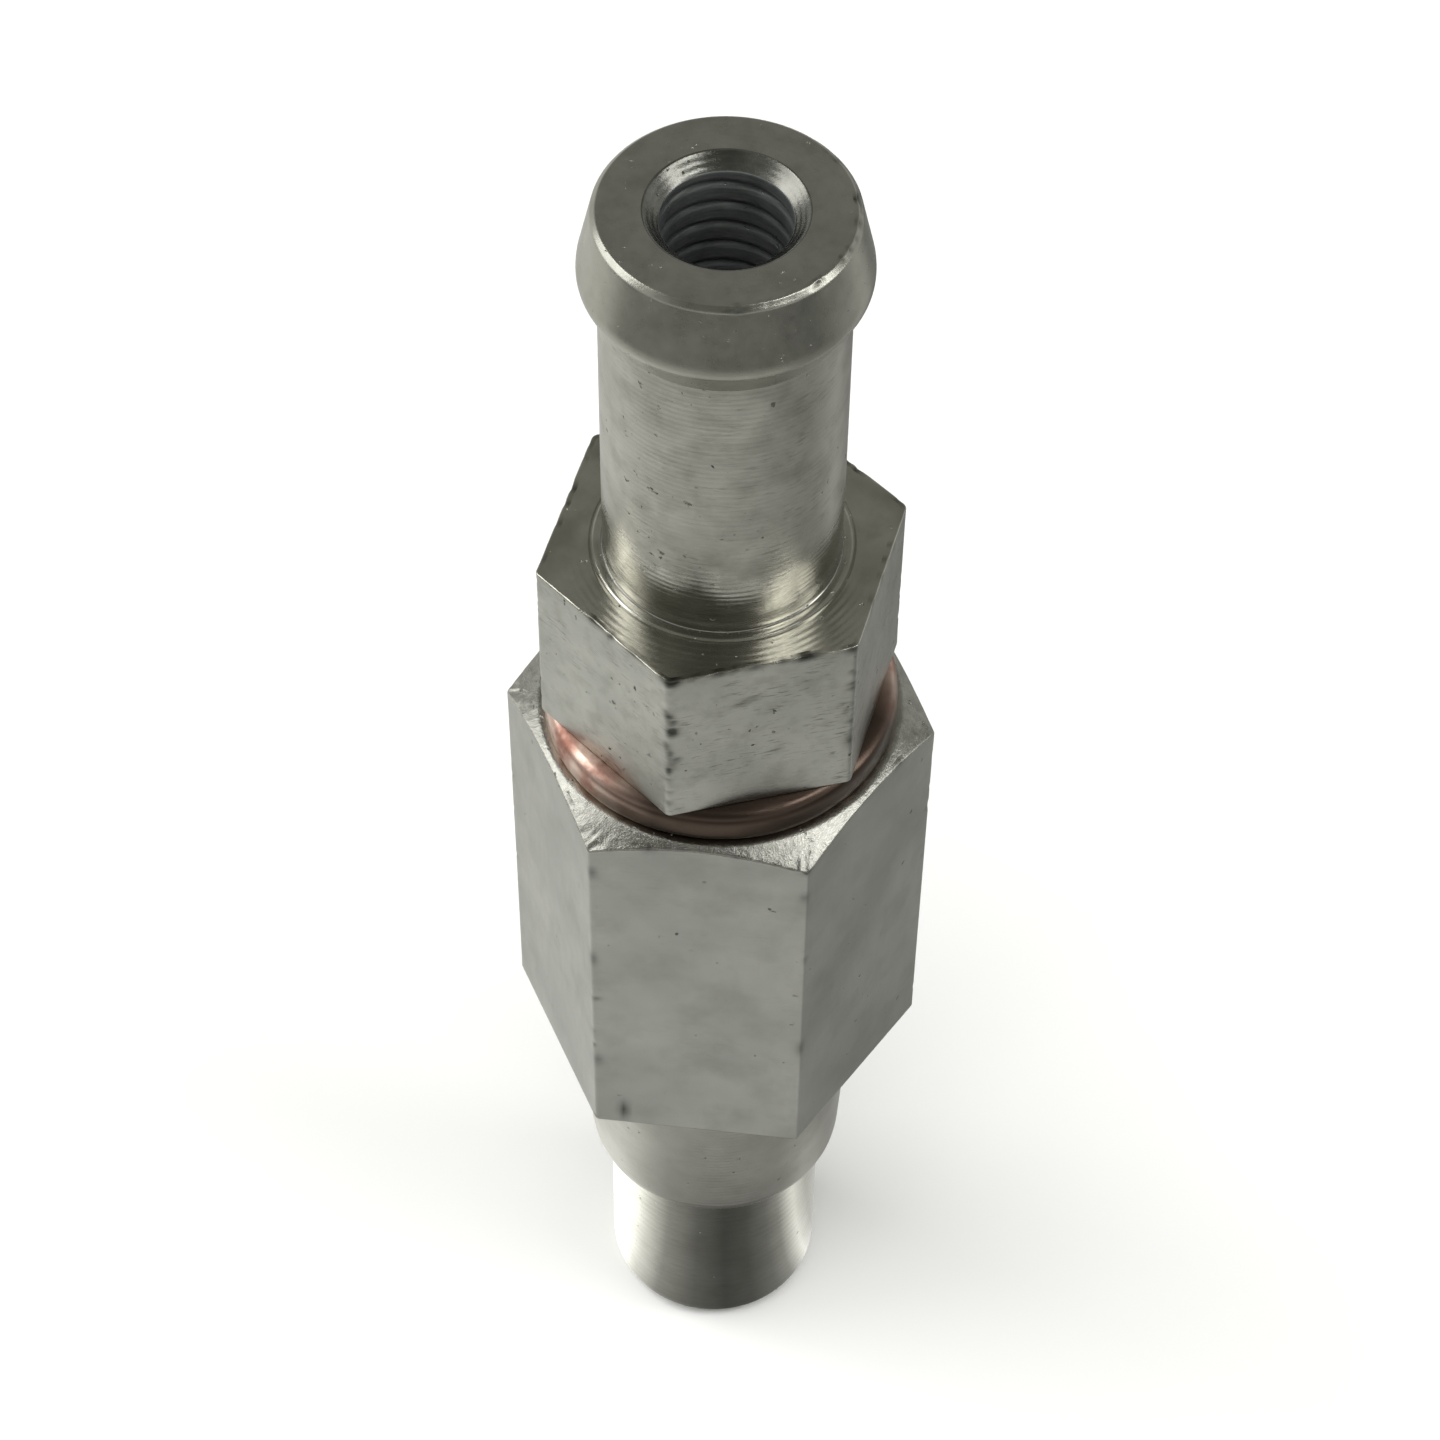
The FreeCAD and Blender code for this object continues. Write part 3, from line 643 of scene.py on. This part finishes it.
def makePoppet():
    # The section from pole to pole carried round the axis: nose, groove for the seal, head, stop, stem.
    p = poppetSizes
    inner = p["innerEdge"]
    angles = evenAngles(p["columns"])
    corners = [
        (0.0, p["noseFoot"], 0.0, 4, 0),
        (p["nose"], p["noseFoot"], p["noseEdge"], 4, 0),
        (p["nose"], p["sealFoot"], inner, 1, 0),
        (p["sealInner"], p["sealFoot"], inner, 1, 0),
        (p["sealInner"], p["headFoot"], inner, 2, 0),
        (p["head"], p["headFoot"], inner, 4, 0),
        (p["head"], p["headTop"], p["edge"], 5, 0),
        (p["stop"], p["headTop"], p["stopFillet"], 5, 0),
        (p["stop"], p["stopTop"], p["edge"], 1, 0),
        (p["stem"], p["stopTop"], inner, 8, 0),
        (p["stem"], p["stemTop"], p["stemEdge"], 4, 0),
        (0.0, p["stemTop"], 0.0, 1, 0),
    ]
    rows, finishes = sectionRows(corners, len(angles), closed=False)
    poppet = gridMesh("turnedPoppet", rows, angles, finishes, [brass], closed=False)
    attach(poppet, "poppet_unit")
    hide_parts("poppet")


springSizes = dict(mean=2.45, wire=0.25, low=34.45, high=41.95, turns=5.0, deadTurns=0.8,
                   deadPitch=1.04,                 # rise of a dead turn, in wire thicknesses
                   around=14, along=520)


def makeSpring():
    # Centre line: reach = mean, angle = 2 pi * turns * t, and the height rises by deadPitch a turn in the
    # dead turns at either end and evenly between them. Wire: a circle round that line.
    s = springSizes
    t = np.linspace(0, 1, s["along"])[:, None]
    around = 2 * np.pi * np.arange(s["around"])[None, :] / s["around"]
    turns = s["turns"] + 2 * s["deadTurns"]
    flat = s["deadTurns"] / turns
    share = np.clip((t - flat) / (1 - 2 * flat), 0, 1)
    deadRise = 2 * s["wire"] * s["deadTurns"] * s["deadPitch"]
    ends = np.clip(t / flat, 0, 1) - np.clip((1 - t) / flat, 0, 1) + 1
    span = s["high"] - s["low"] - 2 * s["wire"]
    height = s["low"] + s["wire"] + ends * deadRise + share * (span - 2 * deadRise)
    angle = 2 * np.pi * turns * t
    reach = s["mean"] + s["wire"] * np.cos(around)
    level = height + s["wire"] * np.sin(around)
    points = np.stack([reach * np.cos(angle), reach * np.sin(angle), level + 0 * reach], -1) * mm
    rowCount, columnCount = points.shape[:2]
    i = np.arange(rowCount - 1)[:, None]
    j = np.arange(columnCount)[None, :]
    nextColumn = (j + 1) % columnCount
    quads = np.stack([i * columnCount + j, (i + 1) * columnCount + j,
                      (i + 1) * columnCount + nextColumn, i * columnCount + nextColumn], -1).reshape(-1, 4)
    first = list(range(columnCount))
    final = [(rowCount - 1) * columnCount + k for k in reversed(range(columnCount))]
    mesh = bpy.data.meshes.new("returnSpringWire")
    mesh.from_pydata(points.reshape(-1, 3).tolist(), [], quads.tolist() + [first, final])
    mesh.materials.append(wireSteel)
    mesh.polygons.foreach_set("use_smooth", np.ones(len(mesh.polygons), bool))
    spring = bpy.data.objects.new("returnSpringWire", mesh)
    bpy.context.scene.collection.objects.link(spring)
    outward = bmesh.new()
    outward.from_mesh(mesh)
    bmesh.ops.recalc_face_normals(outward, faces=outward.faces)
    outward.to_mesh(mesh)
    outward.free()
    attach(spring, "valve")
    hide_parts("return_spring")
    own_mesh(spring)


makeBody()
makeCap()
makeWasher()
makePoppet()
makeSpring()
for node, material in (("poppet_seal", rubber), ("guide_disc", brass)):
    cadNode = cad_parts[node]
    cadNode.data.materials.clear()
    cadNode.data.materials.append(material)
print("pieces made")

cameraSizes = dict(azimuth=276.05, distance=125.5, height=214.7, pitch=52.48, roll=-0.76, lens=101.02,
                   sensor=36.0, nearClip=0.01, farClip=20.0)


def makeCamera():
    # Right = look x up and down = look x right, then both turn by the roll: right * cos + down * sin
    # and right * sin - down * cos.
    c = cameraSizes
    away = np.radians(c["azimuth"])
    pitch, roll = np.radians(c["pitch"]), np.radians(c["roll"])
    look = np.array([-np.cos(away) * np.cos(pitch), -np.sin(away) * np.cos(pitch), -np.sin(pitch)])
    right = np.cross(look, (0, 0, 1))
    right /= np.linalg.norm(right)
    down = np.cross(look, right)
    rolledRight = right * np.cos(roll) + down * np.sin(roll)
    rolledUp = right * np.sin(roll) - down * np.cos(roll)
    data = bpy.data.cameras.new("mainCamera")
    data.lens = c["lens"]
    data.sensor_width = c["sensor"]
    data.clip_start, data.clip_end = c["nearClip"], c["farClip"]
    camera = bpy.data.objects.new("mainCamera", data)
    place = Vector((c["distance"] * np.cos(away), c["distance"] * np.sin(away), c["height"])) * mm
    turn = Matrix(np.stack([rolledRight, rolledUp, -look], 1).tolist())
    camera.matrix_world = Matrix.Translation(place) @ turn.to_4x4()
    bpy.context.scene.collection.objects.link(camera)
    bpy.context.scene.camera = camera


def flatSquare(name, half, height, material):
    # Corners at plus and minus half along X and Y, all at height.
    mesh = bpy.data.meshes.new(name)
    mesh.from_pydata([(-half, -half, height), (half, -half, height), (half, half, height),
                      (-half, half, height)], [], [(0, 1, 2, 3)])
    mesh.materials.append(material)
    square = bpy.data.objects.new(name, mesh)
    bpy.context.scene.collection.objects.link(square)
    return square


floorLook = dict(half=1.5, colour=(0.9, 0.9, 0.89, 1), rough=0.7)


def makeFloor():
    # A square of one pale colour that the metal's reflections don't see.
    material, shader = nodeKit("paleFloor")[:2]
    shader.inputs["Base Color"].default_value = floorLook["colour"]
    shader.inputs["Roughness"].default_value = floorLook["rough"]
    floor = flatSquare("studioFloor", floorLook["half"], 0.0, material)
    floor.visible_glossy = False


bounceSizes = dict(
    half=1.0, height=-0.0002, strength=2.0, warmth=0.95,
    nearEnd=0.0160, farStart=0.0185,          # metres from the axis
    near=[(0.0, 1.0), (13, 0.65), (40, 0.6), (110, 0.6), (150, 1.6), (180, 2.2), (204, 1.9), (216, 1.2),
          (236, 0.46), (263, 0.19), (285, 0.10), (304, 0.13), (323, 0.24), (336, 0.42), (348, 1.0),
          (354, 1.25)],                       # degrees round the axis and level
    far=[(0.0, 0.36), (14, 0.38), (24, 0.5), (36, 0.76), (47, 0.28), (60, 0.20), (110, 0.70), (144, 0.88),
         (190, 0.98), (235, 0.82), (270, 0.74), (305, 0.72), (335, 0.46)],
    fadeStart=0.07, fadeEnd=0.15, fadeTo=0.30, frontDepth=0.05, lastDegrees=359.9,
)


def makeBounce():
    # A glowing card under the part that only reflections see: its brightness is one ramp over the
    # azimuth near the spigot and another further out, mixed by distance, and it fades in front.
    b = bounceSizes
    material, shader, add, link = nodeKit("bounceCard")
    place = add("ShaderNodeTexCoord").outputs["Object"]
    parts = add("ShaderNodeSeparateXYZ", {0: place})
    turn = maths(add, "ARCTAN2", parts.outputs[1], parts.outputs[0])
    share = maths(add, "FRACT", maths(add, "MULTIPLY", turn, 1 / (2 * np.pi)), 1.0)
    away = add("ShaderNodeVectorMath", {0: place}, operation="LENGTH").outputs["Value"]
    ramps = []
    for stops in (b["near"], b["far"]):
        ramp = add("ShaderNodeValToRGB", {0: share})
        stops = stops + [(b["lastDegrees"], stops[0][1])]
        elements = ramp.color_ramp.elements
        while len(elements) < len(stops):
            elements.new(0.5)
        for element, (degrees, level) in zip(elements, stops):
            grey = level / b["strength"]
            element.position = degrees / 360
            element.color = (grey, grey, grey * b["warmth"], 1)
        ramps.append(ramp.outputs[0])
    outward = remap(add, away, b["nearEnd"], b["farStart"])
    mixed = add("ShaderNodeMix", {0: outward, 6: ramps[0], 7: ramps[1]}, data_type="RGBA").outputs[2]
    faded = remap(add, away, b["fadeStart"], b["fadeEnd"], b["strength"], b["strength"] * b["fadeTo"])
    inFront = remap(add, parts.outputs[1], 0.0, -b["frontDepth"])
    strength = add("ShaderNodeMix", {0: inFront, 2: b["strength"], 3: faded}, data_type="FLOAT").outputs[0]
    shader.inputs["Base Color"].default_value = (0, 0, 0, 1)
    shader.inputs["Specular IOR Level"].default_value = 0.0
    link(mixed, shader.inputs["Emission Color"])
    link(strength, shader.inputs["Emission Strength"])
    card = flatSquare("bounceCard", b["half"], b["height"], material)
    for ray in ("camera", "diffuse", "transmission", "volume_scatter", "shadow"):
        setattr(card, "visible_" + ray, False)


lightTarget = (0, 0, 0.05)
softLights = {
    "leftSoftbox": dict(place=(-0.42, 0.02, 0.30), width=0.34, height=0.34, power=0.85),
    "rightStrip": dict(place=(0.34, -0.02, 0.24), width=0.10, height=0.34, power=0.4),
    "windowLight": dict(place=(0.262, -0.125, 0.46), width=0.14, height=0.14, power=0.36),
    "leftWindow": dict(place=(-0.28, 0.06, 0.44), width=0.12, height=0.12, power=0.20),
    "floorSoftbox": dict(place=(-0.10, -0.20, 0.70), width=0.5, height=0.5, power=3.6, mirrored=False),
}


def softLight(name):
    # A glowing rectangle that faces the target: its back axis = place - target. One that isn't
    # mirrored lights the room without showing in the metal.
    s = softLights[name]
    data = bpy.data.lights.new(name, "AREA")
    data.shape = "RECTANGLE"
    data.size, data.size_y = s["width"], s["height"]
    data.energy = s["power"]
    light = bpy.data.objects.new(name, data)
    bpy.context.scene.collection.objects.link(light)
    light.location = s["place"]
    light.rotation_mode = "QUATERNION"
    light.rotation_quaternion = (Vector(s["place"]) - Vector(lightTarget)).to_track_quat("Z", "Y")
    light.visible_glossy = s.get("mirrored", True)


airSizes = dict(horizon=(0.66, 0.66, 0.65, 1), horizonRise=0.15, overhead=(0.26, 0.26, 0.24, 1),
                overheadRise=0.62, gapAzimuth=278, gapHeight=45, gapInner=14, gapOuter=34, gapLevel=0.55)


def makeWorld():
    # Pale round the horizon and darker overhead, by the height of the direction looked along, with a
    # dark gap in the room where no light stands: level falls with the angle to the gap's middle.
    a = airSizes
    world = bpy.data.worlds.new("studioAir")
    bpy.context.scene.world = world
    world.use_nodes = True
    tree = world.node_tree
    background = tree.nodes["Background"]
    place = tree.nodes.new("ShaderNodeTexCoord")
    parts = tree.nodes.new("ShaderNodeSeparateXYZ")
    ramp = tree.nodes.new("ShaderNodeValToRGB")
    tree.links.new(place.outputs["Generated"], parts.inputs[0])
    tree.links.new(parts.outputs["Z"], ramp.inputs[0])
    low, high = ramp.color_ramp.elements
    low.position, low.color = a["horizonRise"], a["horizon"]
    high.position, high.color = a["overheadRise"], a["overhead"]
    near = tree.nodes.new("ShaderNodeVectorMath")
    near.operation = "DOT_PRODUCT"
    turn, rise = np.radians(a["gapAzimuth"]), np.radians(a["gapHeight"])
    near.inputs[1].default_value = (np.cos(turn) * np.cos(rise), np.sin(turn) * np.cos(rise), np.sin(rise))
    tree.links.new(place.outputs["Generated"], near.inputs[0])
    level = tree.nodes.new("ShaderNodeMapRange")
    outer, inner = np.cos(np.radians(a["gapOuter"])), np.cos(np.radians(a["gapInner"]))
    for index, value in enumerate((outer, inner, 1.0, a["gapLevel"])):
        level.inputs[index + 1].default_value = value
    tree.links.new(near.outputs["Value"], level.inputs[0])
    tree.links.new(ramp.outputs[0], background.inputs["Color"])
    tree.links.new(level.outputs[0], background.inputs["Strength"])


makeCamera()
makeFloor()
makeBounce()
for name in softLights:
    softLight(name)
makeWorld()
bpy.context.scene.view_settings.view_transform = "Standard"
print("camera and lights set")
